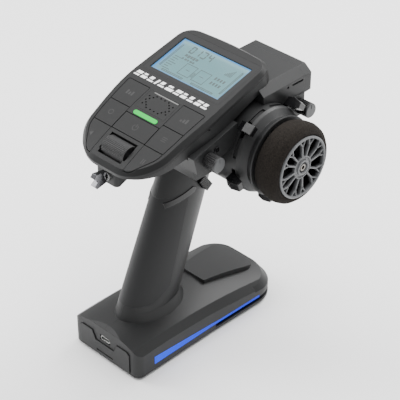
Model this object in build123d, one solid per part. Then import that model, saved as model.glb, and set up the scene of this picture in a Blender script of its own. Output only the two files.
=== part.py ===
from build123d import *
import os
from math import sin, cos, radians, sqrt

os.makedirs("parts", exist_ok=True)

# Pistol-grip radio controller for model cars: a weighted base with its battery,
# a leaning grip, a tilted head with a screen and keys, and a steering wheel on
# the right.  Millimetres, +X to the wheel side, +Y away from the user, +Z up.
# The origin is on the underside of the base, near the middle of its length.

# ---------------------------------------------------------------- driving sizes
wall = 2.2                # moulded casing wall
slip = 0.35               # gap round a piece that moves in an opening
seat = 0.05               # gap round a piece that is fixed in a pocket
run_fit = 0.05            # radial running fit of a shaft

base_near = -66.5         # near end of the base, towards the user
base_far = 73.5
base_half = 32.0          # half width at the near end
base_flare = 2.0          # extra half width at the far end
flare_start = 4.0         # where the sides begin to spread
near_corner = 6.0         # plan radius of the near corners
far_corner = 22.0         # plan radius of the far corners
chamfer_run = 5.0         # inward run of the shoulder chamfer
side_spill = 2.5          # the sections reach past the plan, which trims them
shoulder_near = 19.5      # height of the side wall at the near end
shoulder_far = 11.5       # and at the far end
crown_near = 29.0         # height of the top at the middle, near end
crown_far = 19.4
end_half = 34.5           # bevel round the far end
end_round = 24.0
end_run = 9.0
end_rise = 12.0
plate_height = 4.0        # bottom plate thickness
foot_height = 1.2
groove_height = 3.3       # side groove above the bottom plate
groove_depth = 2.2
groove_start = 8.0

strip_near = -51.0        # light strip on each side
strip_far = 51.0
strip_low = 7.1
strip_tall = 6.1          # height at its near end
strip_slim = 1.8          # height of its far half
strip_bend = 12.0         # where the far half begins
strip_thick = 2.0

door_half = 24.0
door_low = 4.3
door_side_top = 19.0
door_top = 20.8
door_proud = 0.7
door_thick = 2.6
notch_low = 14.0          # cut-out that leaves the charging port free
notch_half_low = 9.0
notch_half_top = 12.2

cell_radius = 9.2         # 18650 cells
cell_length = 65.0
cell_x = 14.3
cell_z = plate_height + 0.2 + cell_radius
cell_near = -56.0

port_width = 8.94         # USB-C receptacle shell
port_height = 3.26
port_depth = 7.35
port_z = 18.6
port_wall = 0.4

grip_low = 49.0           # level at which the grip's section is given
grip_low_y = -19.5
grip_lean = 0.405         # forward shift per millimetre of height
grip_half_width = 15.3
grip_half_depth = 25.0
grip_narrow = 0.02        # loss of half width per millimetre of height
grip_shallow = 0.03
grip_top = 138.0
grip_wall = 2.4
palm_thick = 1.5
collar_low_a = 18.4
collar_low_b = 28.0
collar_low_y = -24.6
collar_top = 34.0

panel_tilt = 14.86        # degrees
panel_y = 9.2             # middle of the screen's lower edge
panel_z = 187.3
bow_radius = 278.0        # the key area curves down with this radius
head_half = 40.6          # half width at its widest
head_far_half = 38.4
head_far = 44.4           # far corners
head_crown = 46.6         # middle of the far edge
head_near = -75.4
head_waist_v = -16.0
head_depth = 14.0         # head casing depth below the panel
head_thin = 3.5           # less at the far end
cover_depth = 5.0         # upper cover's share of it
edge_bevel = 2.6          # sloping edge all round the cover
tuck_start = -14.8        # level below which the underside tucks in
tuck_drop = 10.0
tuck_in = 11.0
lens_half = 34.0
lens_near = -3.2
lens_far = 38.0
lens_thick = 1.2
lcd_half = 30.3
lcd_length = 33.1

key_half_outer = 34.3
key_inner = 15.0
key_rows = (-15.1, -34.4, -51.9, -72.6)
key_gap = 0.5
key_thick = 2.4
key_travel = 0.8
power_far = -37.6
bar_v = -35.2
bar_half = 10.4
bar_width = 3.1
grille_far = -16.0
grille_near = -31.8
grille_half = 13.2
roller_v = -60.8
roller_half = 10.0
roller_radius = 7.0
roller_sink = 4.3         # roller axis below the panel
roller_axle = 1.5
window_half = 11.6
window_far = -54.4
window_near = -67.4

axis_y = 36.7             # steering axis
axis_z = 146.2
drum_radius = 30.0
drum_left = -24.0
drum_edge = 49.0
drum_wall = 2.6
lip_x = 59.4
lip_radius = 27.6
waist_x = 55.0
waist_radius = 25.6
shaft_radius = 3.0
shaft_inner = 6.0
bearing_radius = 6.5
bearing_width = 4.0
rim_inner_x = 62.0
rim_outer_x = 80.2
rim_radius = 21.6
rim_wall = 2.0
spoke_count = 12
spoke_width = 1.5
foam_radius = 28.0

slot_x = 47.2             # trim levers come out of arc slots here
slot_width = 3.2
lever_angles = (47.0, 130.0, 196.0, 268.0)
lever_swing = 6.0
groove_spans = ((14.0, 84.0), (94.0, 169.0), (188.0, 228.0), (246.0, 300.0))
lever_tip = 37.6
lever_half_angle = 4.6

pivot_y = 57.5            # trigger pivot
pivot_z = 142.0
pivot_radius = 2.0
trigger_half = 5.5
loop_y = 59.5
loop_z = 117.5
loop_radius = 14.0
finger_radius = 10.8

bay_left = -10.9          # module bay behind the head
bay_right = 43.5
bay_low = 164.0
bay_top = 186.5
bay_near = 38.0
bay_far = 77.5
bay_cover = 9.0
bay_bevel = 5.0

dial_radius = 5.1
dial_length = 9.6
dial_one = (44.0, -12.4, 158.6)
dial_two = (44.6, 72.8, 161.3)
dial_stem = 1.5

pod_left_box = (-32.0, -12.0, -40.0, -18.0, 123.6)
toggle_z = 129.8
toggle_x = -21.2

# ---------------------------------------------------------------- shared places
tilt_c = cos(radians(panel_tilt))
tilt_s = sin(radians(panel_tilt))
panel = Plane(origin=(0, panel_y, panel_z), x_dir=(1, 0, 0), z_dir=(0, -tilt_s, tilt_c))
far_off = 200.0           # longer than anything it cuts


def bow(v):
    """Drop of the panel's surface at v, below the flat screen area."""
    return -v * v / (2 * bow_radius) if v < 0 else 0.0


def on_panel(shape):
    return panel.location * shape


def box(x0, x1, y0, y1, z0, z1):
    return Pos((x0 + x1) / 2, (y0 + y1) / 2, (z0 + z1) / 2) * Box(x1 - x0, y1 - y0, z1 - z0)


def rod(x0, x1, y, z, radius):
    """Cylinder along X."""
    return Pos((x0 + x1) / 2, y, z) * Rot(0, 90, 0) * Cylinder(radius, x1 - x0)


def tube(x0, x1, y, z, radius, bore):
    return rod(x0, x1, y, z, radius) - rod(x0 - 1, x1 + 1, y, z, bore)


def side_shape(points, x0, x1):
    """Outline in the YZ plane, carried along X."""
    start = Plane(origin=(x0, 0, 0), x_dir=(0, 1, 0), z_dir=(1, 0, 0))
    return extrude(start * make_face(Polyline(*points, close=True)), x1 - x0)


def save(name, shape):
    solids = shape.solids()
    whole = solids[0] if len(solids) == 1 else Compound(children=list(solids))
    export_step(whole, "parts/" + name + ".step")
    print(name, len(solids))


# ---------------------------------------------------------------- base and grip
def base_plan(inset=0.0):
    """Plan of the base: straight near half, spreading far half, round far end."""
    half = base_half - inset
    far_half = base_half + base_flare - inset
    near = base_near + inset
    far = base_far - inset
    points = [(-half, near), (half, near), (half, flare_start), (far_half, far), (-far_half, far),
              (-half, flare_start)]
    near_r = max(near_corner - inset, 1.0)
    radii = [near_r, near_r, far_off, far_corner - inset, far_corner - inset, far_off]
    return make_face(FilletPolyline(*points, radius=radii, close=True))


def base_section(y, half, shoulder, crown, low):
    """Cross-section: chamfered shoulders and a cambered top; the plan cuts the upright sides."""
    rise = (crown - shoulder) * 0.5
    plane = Plane(origin=(0, y, 0), x_dir=(1, 0, 0), z_dir=(0, -1, 0))
    left = -half + chamfer_run
    wide = half + side_spill
    brow = shoulder - rise * side_spill / chamfer_run
    side = Polyline((left, shoulder + rise), (-wide, brow), (-wide, low), (wide, low), (wide, brow),
                    (-left, shoulder + rise))
    top = ThreePointArc((-left, shoulder + rise), (0, crown), (left, shoulder + rise))
    return plane * make_face([side, top])


def base_solid(drop=0.0, low=plate_height):
    """Upper body of the base, or the same body lowered by drop, as its cavity."""
    middle = flare_start - 24.0
    stations = ((base_near - 2.0, 0.0, 0.0), (middle, 0.0, 0.0), (middle + 35.0, 0.28, 0.15),
                (base_far - 20.5, 0.72, 0.66), (base_far + 2.0, 1.0, 1.0))
    faces = []
    for y, share, crown_share in stations:
        half = base_half + base_flare * max(0.0, (y - flare_start) / (base_far - flare_start)) - drop
        shoulder = shoulder_near + (shoulder_far - shoulder_near) * share - drop
        crown = crown_near + (crown_far - crown_near) * crown_share - drop
        faces.append(base_section(y, half, shoulder, crown, low))
    return loft(faces) & extrude(base_plan(drop), far_off)


def grip_face(z, inset=0.0):
    up = z - grip_low
    plane = Plane(origin=(0, grip_low_y + grip_lean * up, z))
    half_width = grip_half_width - grip_narrow * up - inset
    half_depth = grip_half_depth - grip_shallow * up - inset
    return plane * Ellipse(half_width, half_depth)


def grip_solid(inset=0.0, low=20.0, top=grip_top):
    return loft([grip_face(low, inset), grip_face((low + top) / 2, inset), grip_face(top, inset)])


def collar_solid():
    low = Plane(origin=(0, collar_low_y, 22.0)) * Ellipse(collar_low_a + 1.6, collar_low_b + 1.6)
    brim = Plane(origin=(0, collar_low_y, 27.0)) * Ellipse(collar_low_a, collar_low_b)
    return loft([low, brim, grip_face(collar_top, -0.1)], ruled=True)


def palm_region():
    """Side view of the rubber panel: everything behind the seam, below the trim."""
    edge = FilletPolyline((-90, 37), (-34, 39), (-19.5, 47), (2.0, 114.5), (-90, 98), radius=(8, 12, 2),
                          close=False)
    start = Plane(origin=(-40, 0, 0), x_dir=(0, 1, 0), z_dir=(1, 0, 0))
    closing = Line((-90, 98), (-90, 37))
    return extrude(start * make_face([edge, closing]), 80)


def strip_solid(side, grow=0.0):
    """Light strip: a tall near end that narrows to a slim far half, flush with the side.
    Grown, it is its pocket."""
    points = [(strip_near - grow, strip_low - grow), (strip_far + grow, strip_low - grow),
              (strip_far + grow, strip_low + strip_slim + grow), (strip_bend, strip_low + strip_slim + grow),
              (strip_near - grow, strip_low + strip_tall + grow)]
    inner = base_half - groove_depth - 1.0
    solid = side_shape(points, inner - grow, base_half + base_flare + 3)
    if not grow:
        solid = solid & extrude(base_plan(0.0), far_off)
    return solid if side > 0 else mirror(solid, Plane.YZ)


def door_face(grow=0.0):
    right = [(notch_half_low - grow, notch_low + grow), (notch_half_top - grow, door_top + grow),
             (door_half - 2.0, door_top + grow), (door_half + grow, door_side_top + grow),
             (door_half + grow, door_low - grow)]
    left = [(-x, z) for x, z in reversed(right)]
    return make_face(Polyline(*(right + left), close=True))


def door_solid(grow=0.0, proud=door_proud):
    plane = Plane(origin=(0, base_near - proud, 0), x_dir=(1, 0, 0), z_dir=(0, -1, 0))
    return extrude(plane * door_face(grow), -(door_thick + grow))


base_outer = base_solid()
near_chamfer = Plane(origin=(0, base_near, crown_near - 1.5), z_dir=(0, -1, 3.0))
base_outer = base_outer - extrude(near_chamfer * Rectangle(200, 200), 40)
end_corners = [(-end_half, -20), (end_half, -20), (end_half, base_far), (-end_half, base_far)]
end_plan = make_face(FilletPolyline(*end_corners, radius=(1, 1, end_round, end_round), close=True))
end_brow = Pos(0, 0, shoulder_far) * end_plan
end_crest = Pos(0, 0, shoulder_far + end_rise) * offset(end_plan, -end_run)
end_cap = extrude(end_plan, shoulder_far) + loft([end_brow, end_crest], ruled=True)
base_outer = base_outer & (end_cap + box(-60, 60, -90, base_far - 27, 0, 60))
base_inner = base_solid(drop=wall + 0.3, low=plate_height - 1)
base_inner = base_inner & box(-60, 60, base_near + door_thick + 1.2, 90, 0, 60)
groove = extrude(base_plan(-5.0), groove_height + plate_height) - extrude(base_plan(groove_depth), far_off)
groove = groove & box(-60, 60, groove_start, 90, plate_height, 60)
collar = collar_solid()
grip_outer = grip_solid()
grip_skin = (grip_outer - grip_solid(inset=palm_thick, low=19, top=grip_top + 1)) & palm_region()
grip_bore = grip_solid(inset=grip_wall + palm_thick, low=18.0, top=grip_top + 2)
port_hole = Pos(0, base_near, port_z) * Box(port_width + 1.0, 30, port_height + 1.0)

handle = (base_outer + collar + grip_outer) - base_inner - grip_bore - grip_skin
handle = handle - groove - door_solid(slip, door_proud) - port_hole
hatch_half = door_half - 1.5
hatch = box(-hatch_half, hatch_half, base_near - 1, base_near + 6, plate_height - 1, notch_low - 0.5)
handle = handle - hatch
for side in (1, -1):
    handle = handle - strip_solid(side, seat)

rocker_y = 13.0
rocker_z = 116.0
rocker_lean = 35.0
rocker_wide = 6.0
rocker_tall = 12.0
rocker_face = 15.2        # out to the skin of the grip
rocker_at = Pos(rocker_face, rocker_y, rocker_z) * Rot(rocker_lean, 0, 0)
rocker_cut = rocker_at * Pos(-2, 0, 0) * Box(10, rocker_wide + 2 * slip, rocker_tall + 2 * slip)
handle = handle - rocker_cut
save("handle_shell_left", handle & box(-80, 0, -90, 90, 0, 200))
save("handle_shell_right", handle & box(0, 80, -90, 90, 0, 200))
save("palm_grip", grip_skin)

# ---------------------------------------------------------------- base: small pieces
foot_places = [(x, y) for x in (-24, 24) for y in (base_near + 9, base_far - 12)]
screw_places = [(x, y) for x in (-26, 26) for y in (base_near + 20, base_far - 24)]
screw_radius = 1.25
screw_head = 2.4

plate = extrude(base_plan(0.0), plate_height)
plate = chamfer(plate.faces().sort_by(Axis.Z)[0].edges(), 2.2)
feet = [Pos(x, y, foot_height / 2) * Cylinder(5.0, foot_height) for x, y in foot_places]
screws = []
for x, y in screw_places:
    shank = Pos(x, y, plate_height / 2 + 3) * Cylinder(screw_radius, plate_height + 2)
    screws.append(shank + Pos(x, y, 1.5) * Cylinder(screw_head, 1.6))
for foot in feet:
    plate = plate - foot
for screw in screws:
    plate = plate - screw
    plate = plate - (Pos(screw.center().X, screw.center().Y, 0.35) * Cylinder(screw_head, 0.75))
door = door_solid(0.0)
door = door - Pos(0, base_near - door_proud, door_low + 2.2) * Rot(90, 0, 0) * Box(16, 1.6, 1.2)
stop_far = cell_near + cell_length + 3.0
stop = box(-cell_x - 11, cell_x + 11, stop_far - 2.0, stop_far, plate_height - 1, cell_z + 3)
plate = plate - door_solid(slip) + stop
save("base_bottom_plate", plate)
save("rubber_feet", Compound(children=feet))
save("base_screws", Compound(children=screws))
save("battery_door", door)

for name, side in (("light_strip_right", 1), ("light_strip_left", -1)):
    save(name, strip_solid(side))

cell_far = cell_near + cell_length
cells = [Pos(x, cell_near + cell_length / 2, cell_z) * Rot(90, 0, 0) * Cylinder(cell_radius, cell_length)
         for x in (-cell_x, cell_x)]
save("battery_cells", Compound(children=cells))
contact_near = [box(x - 5, x + 5, cell_near - 2.0, cell_near, cell_z - 5, cell_z + 5)
                for x in (-cell_x, cell_x)]
contact_bar = box(-cell_x - 5, cell_x + 5, cell_far, cell_far + 1.0, cell_z - 5, cell_z + 5)
save("battery_contacts", Compound(children=contact_near + [contact_bar]))

port_y = base_near + port_depth / 2 + 0.3
port = Pos(0, port_y, port_z) * Box(port_width, port_depth, port_height)
port = fillet(port.edges().filter_by(Axis.Y), port_height / 2 - 0.1)
port_clear = Box(port_width - 2 * port_wall, port_depth, port_height - 2 * port_wall)
port_room = Pos(0, port_y - 1.0, port_z) * port_clear
tongue = Pos(0, port_y + 0.6, port_z) * Box(port_width - 2.6, port_depth - 1.4, 0.7)
save("usb_port", port - port_room + tongue)
board_top = port_z - port_height / 2
save("charge_board", box(-8.8, 8.8, base_near + 3.9, base_near + 10.2, board_top - 1.4, board_top))

pad_near = 16.5
pad_far = base_far - 9.0
pad_half = 11.6
pad_far_half = 19.0
pad_crown = (29.4, 27.0, 21.7)    # height of its top: near end, middle, far end
pad_middle = (pad_near + pad_far) / 2
pad_top = ThreePointArc((pad_near, pad_crown[0]), (pad_middle, pad_crown[1]), (pad_far, pad_crown[2]))
pad_under = Polyline((pad_far, pad_crown[2]), (pad_far, 14), (pad_near, 20), (pad_near, pad_crown[0]))
pad_plane = Plane(origin=(-30, 0, 0), x_dir=(0, 1, 0), z_dir=(1, 0, 0))
pad_body = extrude(pad_plane * make_face([pad_top, pad_under]), 60)
pad_corners = [(-pad_half, pad_near), (pad_half, pad_near), (pad_far_half, pad_far - 0.5),
               (-pad_far_half, pad_far - 0.5)]
pad_plan = make_face(FilletPolyline(*pad_corners, radius=(1, 1, 9, 9), close=True))
pad = (pad_body & extrude(pad_plan, far_off)) - base_outer
pad_parts = sorted(pad.solids(), key=lambda s: s.volume)
save("base_top_pad", pad_parts[-1])

swoosh_path = [(-16.5, 105.6), (-16.5, 108.8), (4.0, 116.2), (6.5, 114.6), (5.2, 112.0)]
swoosh_band = side_shape(swoosh_path, -40, 40)
swoosh_ring = grip_solid(-0.5, 90, 130) - grip_solid(0.0, 89, 131)
swoosh = swoosh_ring & swoosh_band
save("grip_trim", Compound(children=list(swoosh.solids())))

rocker_pin = rocker_at * Pos(-2.2, 0, 0) * Rot(90, 0, 0) * Cylinder(1.2, rocker_wide)
rocker = rocker_at * Box(4.4, rocker_wide, rocker_tall) + rocker_pin
for step in range(-4, 5):
    rocker = rocker - rocker_at * Pos(2.2, 0, step * 1.3) * Box(1.4, rocker_wide + 2, 0.6)
save("grip_rocker", rocker)

# ---------------------------------------------------------------- head
head_right = [(head_far_half, head_far), (head_half, head_waist_v), (35.8, -58.3), (21.3, head_near)]
head_points = head_right + [(-u, v) for u, v in reversed(head_right)] + [(0, head_crown)]
head_radii = [13, 150, 26, 27, 27, 26, 150, 13, 250]


def head_plan():
    return make_face(FilletPolyline(*head_points, radius=head_radii, close=True))


def head_prism(inset=0.0):
    """Head outline carried through the panel's thickness, in panel coordinates."""
    plan = head_plan()
    if inset:
        plan = offset(plan, -inset)
    return Pos(0, 0, -60) * extrude(plan, 120)


def bowed_band(high, low, half=60.0):
    """Slab between two heights below the panel, following its curve, in panel coordinates."""
    start = Plane(origin=(-half, 0, 0), x_dir=(0, 1, 0), z_dir=(1, 0, 0))

    def edge(height):
        radius = bow_radius + height
        bend = -0.34 * bow_radius
        end = (bend, sqrt(radius ** 2 - bend ** 2) - bow_radius)
        mid = (bend / 2, sqrt(radius ** 2 - bend ** 2 / 4) - bow_radius)
        return end, mid

    (end_h, mid_h), (end_l, mid_l) = edge(high), edge(low)
    lines = [Line((70, low), (70, high)), Line((70, high), (0, high)),
             ThreePointArc((0, high), mid_h, end_h), Line(end_h, end_l),
             ThreePointArc(end_l, mid_l, (0, low)), Line((0, low), (70, low))]
    return extrude(start * make_face(lines), 2 * half)


def cell_box(u0, u1, v0, v1, n0=-40.0, n1=20.0):
    return box(u0, u1, v0, v1, n0, n1)


def key_field(grow=0.0):
    points = [(-key_half_outer, key_rows[0]), (key_half_outer, key_rows[0]), (32.4, -44.0), (30.6, -57.0),
              (19.8, key_rows[3]), (-19.8, key_rows[3]), (-30.6, -57.0), (-32.4, -44.0)]
    plan = make_face(FilletPolyline(*points, radius=(1.5, 1.5, 60, 14, 9, 9, 14, 60), close=True))
    if grow:
        plan = offset(plan, grow)
    return Pos(0, 0, -60) * extrude(plan, 120)


def tucked_prism(lift=0.0):
    """Head outline that tucks in below tuck_start, where the underside curves up to its near edge."""
    outline = head_plan()
    waist = Pos(0, 0, tuck_start + lift) * outline
    floor = Pos(0, 0, tuck_start + lift - tuck_drop) * offset(outline, -tuck_in)
    return extrude(waist, 60) + loft([waist, floor], ruled=True)


far_bevel = side_shape([(0, -head_depth - 5), (0, -head_depth), (60, -head_depth + 1.25 * head_thin),
                        (60, -head_depth - 5)], -60, 60)
head_body = (tucked_prism() & bowed_band(0, -head_depth)) - far_bevel
head_envelope = on_panel((head_prism() & bowed_band(30, -head_depth)) - far_bevel)

cover = head_prism() & bowed_band(0, -cover_depth)
cover = chamfer(cover.faces().sort_by(Axis.Z)[-1].outer_wire().edges(), edge_bevel)
cover = cover - (head_prism(wall) & bowed_band(-wall, -cover_depth - 1))
cover = cover - cell_box(-lens_half - seat, lens_half + seat, lens_near - seat, lens_far + seat, -lens_thick)
cover = cover - cell_box(-lcd_half - 0.6, lcd_half + 0.6, -0.6, lcd_length + 0.6)
key_zone = cell_box(-60, -key_inner, key_rows[3] - 1, key_rows[0] + 1)
key_zone = key_zone + cell_box(key_inner, 60, key_rows[3] - 1, key_rows[0] + 1)
cover = cover - (key_field(0.1) & key_zone)
cover = cover - cell_box(-key_inner - 0.1, key_inner + 0.1, key_rows[2] - 0.1, power_far + 0.1)
window = cell_box(-window_half, window_half, window_near, window_far)
cover = cover - window
ramp = side_shape([(window_near - 4.5, -6.6), (window_near - 4.5, 2), (window_near + 1, 2),
                   (window_near + 1, -13.5)], -window_half + 1.2, window_half - 1.2)
cover = cover - ramp
bar_slot = Pos(0, bar_v, 0) * extrude(SlotOverall(2 * bar_half, bar_width), 60, both=True)
grille_box = cell_box(-grille_half, grille_half, grille_near, grille_far)
cover = cover - (grille_box - bowed_band(-1.4, -60))
cover = cover - (cell_box(-grille_half + 1.5, grille_half - 1.5, grille_near + 1.5, grille_far - 1.5))
bar_solid = bar_slot & bowed_band(0.3, -1.8)
cover = cover - bar_slot
save("head_upper_cover", on_panel(cover))

lens = cell_box(-lens_half, lens_half, lens_near, lens_far, -lens_thick, 0) & bowed_band(0, -9)
save("screen_lens", on_panel(lens))
lcd = cell_box(-lcd_half, lcd_half, 0, lcd_length, -lens_thick - 2.8, -lens_thick)
save("lcd_module", on_panel(lcd))
save("status_light_bar", on_panel(bar_solid))

grille = (cell_box(-grille_half + seat, grille_half - seat, grille_near + seat, grille_far - seat)
          & bowed_band(0, -1.4))
hole_pitch = 1.75
hole_radius = 0.55
holes = []
for i in range(-6, 7):
    for j in range(-3, 4):
        ring = (i / 6.6) ** 2 + (j / 3.5) ** 2
        if (i + j) % 2 == 0 and 0.42 < ring < 1.25:
            hole = Cylinder(hole_radius, 12)
            holes.append(Pos(i * hole_pitch, (grille_near + grille_far) / 2 + j * hole_pitch, -3) * hole)
grille = grille - Compound(children=holes)
save("speaker_grille", on_panel(grille))
speaker_v = (grille_near + grille_far) / 2
speaker = Pos(0, speaker_v, -6.6) * Cylinder(7.4, 4.0) + Pos(0, speaker_v, -9.2) * Cylinder(4.0, 1.6)
save("speaker", on_panel(speaker))

key_names = ("upper", "middle", "lower")
key_solids = {}
for row, name in enumerate(key_names):
    high = key_rows[row] - key_gap / 2
    low = key_rows[row + 1] + key_gap / 2
    for side, label in ((-1, "left"), (1, "right")):
        inner = key_inner + slip - 0.1
        cell = cell_box(inner, 60, low, high) if side > 0 else cell_box(-60, -inner, low, high)
        key = (key_field(-slip) & cell) & bowed_band(0, -key_thick)
        key_solids["key_" + label + "_" + name] = key
key_solids["power_key"] = cell_box(-key_inner + slip, key_inner - slip, key_rows[2] + slip,
                                   power_far - slip) & bowed_band(0, -key_thick)
for name, key in key_solids.items():
    save(name, on_panel(key))

membrane = (key_field(-0.6) & bowed_band(-key_thick - key_travel - 0.35, -key_thick - key_travel - 1.15))
membrane = membrane - cell_box(-12.6, 12.6, -80, -52.6) - cell_box(-9, 9, -33, -14)
save("keypad_membrane", on_panel(membrane))

lower = head_body - bowed_band(1, -cover_depth)
lower = lower - (head_prism(wall) & tucked_prism(3.0) & bowed_band(2, -head_depth + wall)
                 - far_bevel.moved(Location((0, 0, 3.0))))
roller_n = bow(roller_v) - roller_sink
roller_room = rod(-roller_half - 0.6, roller_half + 0.6, roller_v, roller_n, roller_radius + 0.6)
lower = lower - roller_room
for side in (-1, 1):
    u = side * (roller_half + 1.8)
    post = box(u - 0.9, u + 0.9, roller_v - 2.6, roller_v + 2.6, roller_n - 9.5, roller_n + 2.6)
    lower = lower + (post & bowed_band(-cover_depth, -head_depth + 0.5))
roller_pin = rod(-roller_half - 2.6, roller_half + 2.6, roller_v, roller_n, roller_axle)
lower = lower - roller_pin
lower = lower - cell_box(-9, 9, -14, 26, -30, -9)
head_screws = []
for u, v in ((-31, 34), (31, 34), (-34, -34), (34, -34)):
    floor = -head_depth + max(v, 0) * 1.25 * head_thin / 60
    screw = Pos(u, v, floor + 5.1) * Cylinder(1.2, 7.0) + Pos(u, v, floor + 1.8) * Cylinder(2.2, 1.0)
    post = Pos(u, v, -9.2) * Cylinder(2.6, 8.2) & bowed_band(-cover_depth, -head_depth)
    lower = lower + (post - far_bevel) - screw - Pos(u, v, floor - 6) * Cylinder(2.2, 15.0)
    head_screws.append(on_panel(screw))
save("head_screws", Compound(children=head_screws))
strap_y = -7.9
strap_z = 176.7
strap_hole = rod(head_half - 1.4, head_half + 2, strap_y, strap_z, 0.9)
save("head_lower_shell", on_panel(lower) - strap_hole)

roller = tube(-roller_half, roller_half, roller_v, roller_n, roller_radius, roller_axle + run_fit)
rib_count = 40
ribs = []
for i in range(rib_count):
    angle = 360 * i / rib_count
    notch = Pos(0, roller_v, roller_n) * Rot(angle, 0, 0) * Pos(0, 0, roller_radius) * Rot(45, 0, 0)
    ribs.append(notch * Box(2 * roller_half + 2, 0.42, 0.42))
roller = roller - Compound(children=ribs)
save("scroll_roller", on_panel(roller))
save("roller_axle", on_panel(roller_pin))

board = (head_prism(4.0) & box(-60, 60, -24, 37, -8.0, -6.6)) - cell_box(-9.5, 9.5, -60, -14)
for u in (-31, 31):
    board = board - Pos(u, 34, -8) * Cylinder(3.2, 8.0)
save("main_board", on_panel(board))

# ---------------------------------------------------------------- wheel and trigger housing
def turned(points, angle=360.0):
    """Profile of (x, radius) points turned round the steering axis."""
    plane = Plane(origin=(0, axis_y, axis_z), x_dir=(1, 0, 0), z_dir=(0, -1, 0))
    return revolve(plane * make_face(Polyline(*points, close=True)),
                   axis=Axis((0, axis_y, axis_z), (1, 0, 0)), revolution_arc=angle)


drum_outer = turned([(drum_left, 0), (drum_left, 22), (drum_left + 3, 27), (drum_left + 7, 29.4),
                     (drum_left + 12, drum_radius), (drum_edge, drum_radius), (drum_edge + 2, 29.2),
                     (waist_x, waist_radius), (lip_x - 2, waist_radius + 1.2), (lip_x, lip_radius),
                     (lip_x + 0.6, lip_radius - 0.6), (lip_x + 0.6, 24.0), (waist_x - 1, 22.5), (waist_x - 1, 0)])
drum_room = turned([(drum_left + 3, 0), (drum_left + 3, 22), (drum_left + 9, drum_radius - drum_wall),
                    (drum_edge - 1, drum_radius - drum_wall), (drum_edge - 1, 0)])
neck_top = 200.0          # ends inside the head, which trims it
neck_points = [(-13, grip_top), (-20, 158), (-20, neck_top), (bay_near, neck_top), (bay_near, axis_z),
               (20, grip_top)]
neck = side_shape(neck_points, -21.5, 33.5)
neck_room = side_shape([(-10.5, grip_top + 2), (-17.5, 159), (-17.5, neck_top),
                        (bay_near - 2.0, neck_top), (bay_near - 1.0, axis_z),
                        (20, grip_top + 2)], -19, 31)
grip_plug = grip_solid(-seat, 20.0, grip_top)
grip_hollow = grip_solid(grip_wall + palm_thick, 20.0, grip_top + 12)
housing = (drum_outer + neck) - head_envelope - neck_room - drum_room
boss = tube(drum_edge - 9, drum_edge - 0.5, axis_y, axis_z, bearing_radius + 3, bearing_radius)
housing = housing + boss - rod(drum_edge - 9, drum_edge + 30, axis_y, axis_z, shaft_radius + 0.6)
web = box(shaft_inner + 6, shaft_inner + 8.5, axis_y - 24, axis_y + 24, axis_z - 10, axis_z + 18)
web = web & turned([(drum_left + 4, 0), (drum_left + 4, drum_radius - 1), (drum_edge, drum_radius - 1),
                    (drum_edge, 0)])
web_boss = tube(shaft_inner + 2, shaft_inner + 8.5, axis_y, axis_z, bearing_radius + 3, bearing_radius)
housing = housing + web + web_boss - rod(shaft_inner + 2, shaft_inner + 8.5, axis_y, axis_z, bearing_radius)
housing = housing - rod(drum_edge - 9, drum_edge - 9 + bearing_width, axis_y, axis_z, bearing_radius)
housing = housing - grip_plug - grip_hollow
trigger_slot = box(-trigger_half - 3.2, trigger_half + 3.2, 34.5, 80, 100, pivot_z + 9)
housing = housing - trigger_slot
for side in (-1, 1):
    x = side * (trigger_half + 4.6)
    cheek = box(x - 1.4, x + 1.4, pivot_y - 6, pivot_y + 8, pivot_z - 6, pivot_z + 24)
    housing = housing + (cheek & drum_outer)
pivot_pin = rod(-trigger_half - 6.0, trigger_half + 6.0, pivot_y, pivot_z, pivot_radius)
housing = housing - pivot_pin


def about_axis(shape, degrees):
    """Turn a shape round the steering axis; 0 points forward and 90 points up."""
    return Pos(0, axis_y, axis_z) * Rot(degrees - 90, 0, 0) * Pos(0, -axis_y, -axis_z) * shape


slot_reach = lever_half_angle + lever_swing + 1.2
slot_low = slot_x - slot_width / 2
slot_high = slot_x + slot_width / 2
arc_slot = turned([(slot_low, 24), (slot_high, 24), (slot_high, 34), (slot_low, 34)], 2 * slot_reach)
for angle in lever_angles:
    housing = housing - about_axis(arc_slot, angle - slot_reach)
for start, end in groove_spans:
    arc_groove = turned([(slot_x - 1.3, drum_radius - 1.2), (slot_x + 1.3, drum_radius - 1.2),
                         (slot_x + 1.3, drum_radius + 2), (slot_x - 1.3, drum_radius + 2)], end - start)
    housing = housing - about_axis(arc_groove, start)
housing_parts = sorted(housing.solids(), key=lambda s: s.volume)
save("wheel_housing", housing_parts[-1])

# ---------------------------------------------------------------- steering
def coil(x0, x1, y, z, radius, wire, turns):
    """Helical spring along X."""
    pitch = (x1 - x0) / turns
    path = Helix(pitch=pitch, height=x1 - x0, radius=radius)
    profile = Plane(origin=path @ 0, z_dir=path % 0) * Circle(wire)
    return Pos(x0, y, z) * Rot(0, 90, 0) * sweep(profile, path=path)


save("steering_shaft", rod(shaft_inner, rim_outer_x - 4.2, axis_y, axis_z, shaft_radius))
bearings = []
for x in (shaft_inner + 3, drum_edge - 9):
    bearings.append(tube(x, x + bearing_width, axis_y, axis_z, bearing_radius - 0.01, shaft_radius + run_fit))
save("steering_bearings", Compound(children=bearings))
save("steering_spring", coil(shaft_inner + 14, drum_edge - 16, axis_y, axis_z, 5.2, 0.6, 9))
save("steering_magnet", rod(shaft_inner - 1.8, shaft_inner, axis_y, axis_z, 2.4))
sensor = box(-1.2, 0.4, axis_y - 10, axis_y + 10, axis_z - 7, axis_z + 10)
sensor_posts = [rod(0.4, shaft_inner + 6, axis_y + dy, axis_z + 7.5, 1.2) for dy in (-8.5, 8.5)]
save("steering_sensor", sensor + sensor_posts[0] + sensor_posts[1])

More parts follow.
